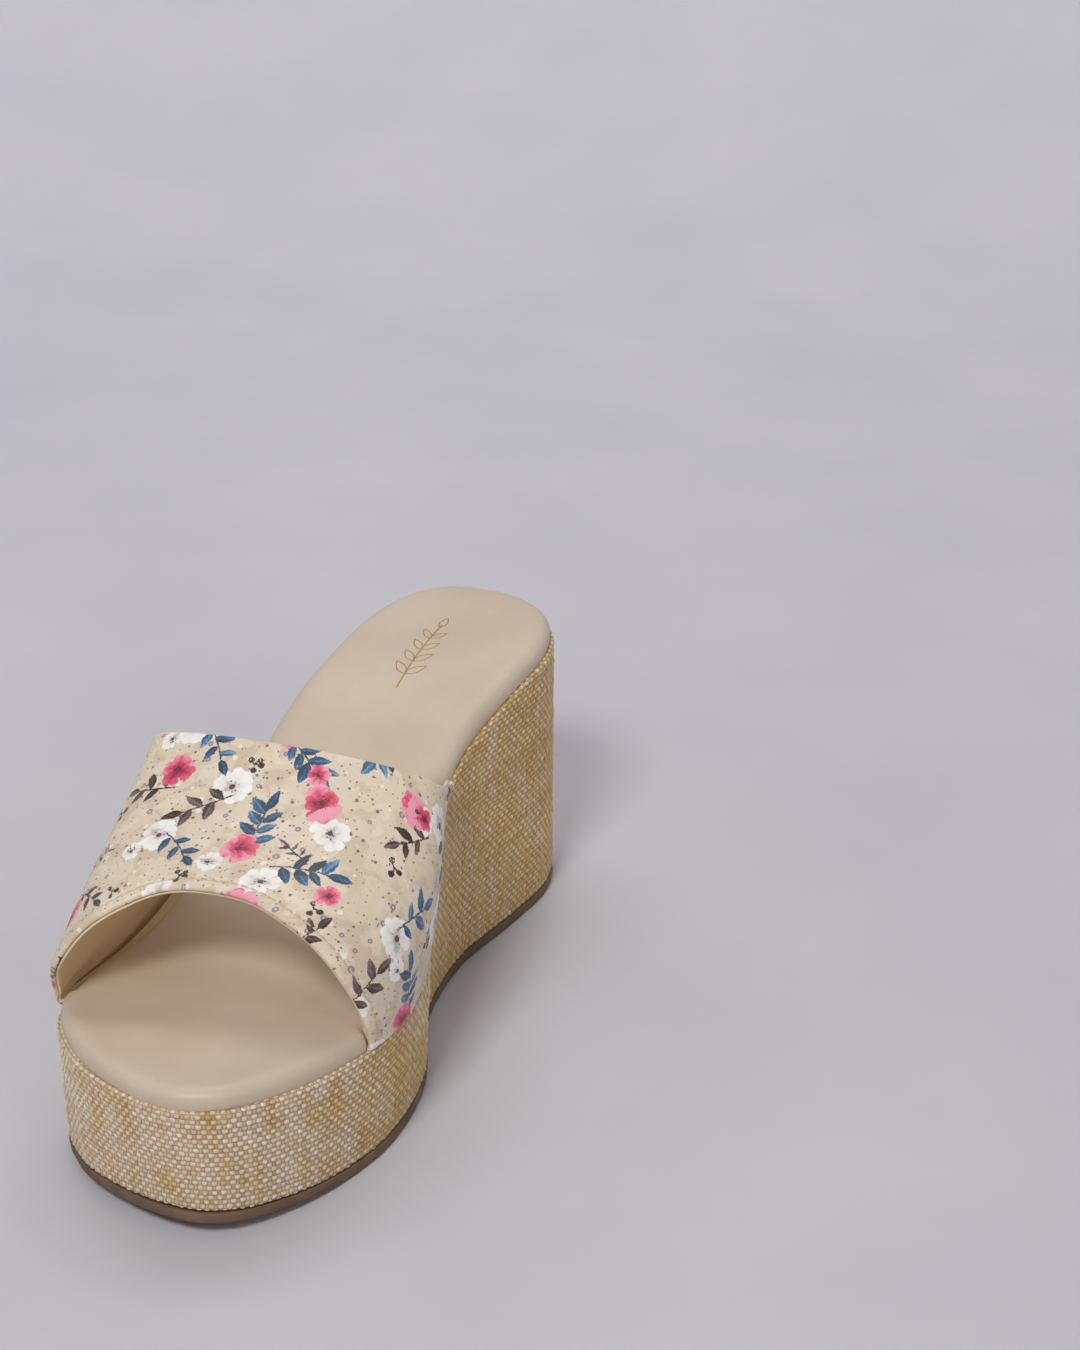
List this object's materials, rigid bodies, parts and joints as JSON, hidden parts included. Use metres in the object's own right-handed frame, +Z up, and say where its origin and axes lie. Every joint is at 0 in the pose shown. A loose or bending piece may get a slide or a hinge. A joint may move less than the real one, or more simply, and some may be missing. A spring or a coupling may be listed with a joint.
{
  "type": "wedge sandal",
  "caption": "Women's right-foot slide sandal on a woven-covered platform wedge, with a wide floral band over the foot and a padded insole.",
  "frame": {"origin": "centre of the bounding box in X and Y, on the ground plane under the outsole", "axes": "+Z up, +Y from toe to heel, +X towards the inner (medial) side of the right foot"},
  "size_m": [0.0962, 0.235, 0.0978],
  "materials": {
    "outsole_rubber": "matt taupe-brown, rough edge",
    "core_eva": "matt light block, hidden",
    "raffia_weave": "plain-woven gold-beige raffia with silvery glints",
    "fibreboard": "pressed fibre, hidden",
    "shank_steel": "plain strip, hidden",
    "insole_foam": "soft foam, hidden",
    "nude_pu": "smooth satin nude synthetic leather",
    "printed_pu": "satin synthetic leather with a watercolour floral print",
    "interlining": "thin foam, hidden",
    "tan_lining": "smooth tan synthetic leather",
    "tan_thread": "polyester stitching"
  },
  "bodies": {
    "root": {"outsole": "outsole_rubber", "wedge_core": "core_eva", "wedge_wrap": "raffia_weave", "insole_board": "fibreboard", "shank": "shank_steel", "insole_foam": "insole_foam", "insole_cover": "nude_pu", "strap_upper": "printed_pu", "strap_interlining": "interlining", "strap_lining": "tan_lining", "front_edge_thread": "tan_thread"}
  },
  "joints": []
}
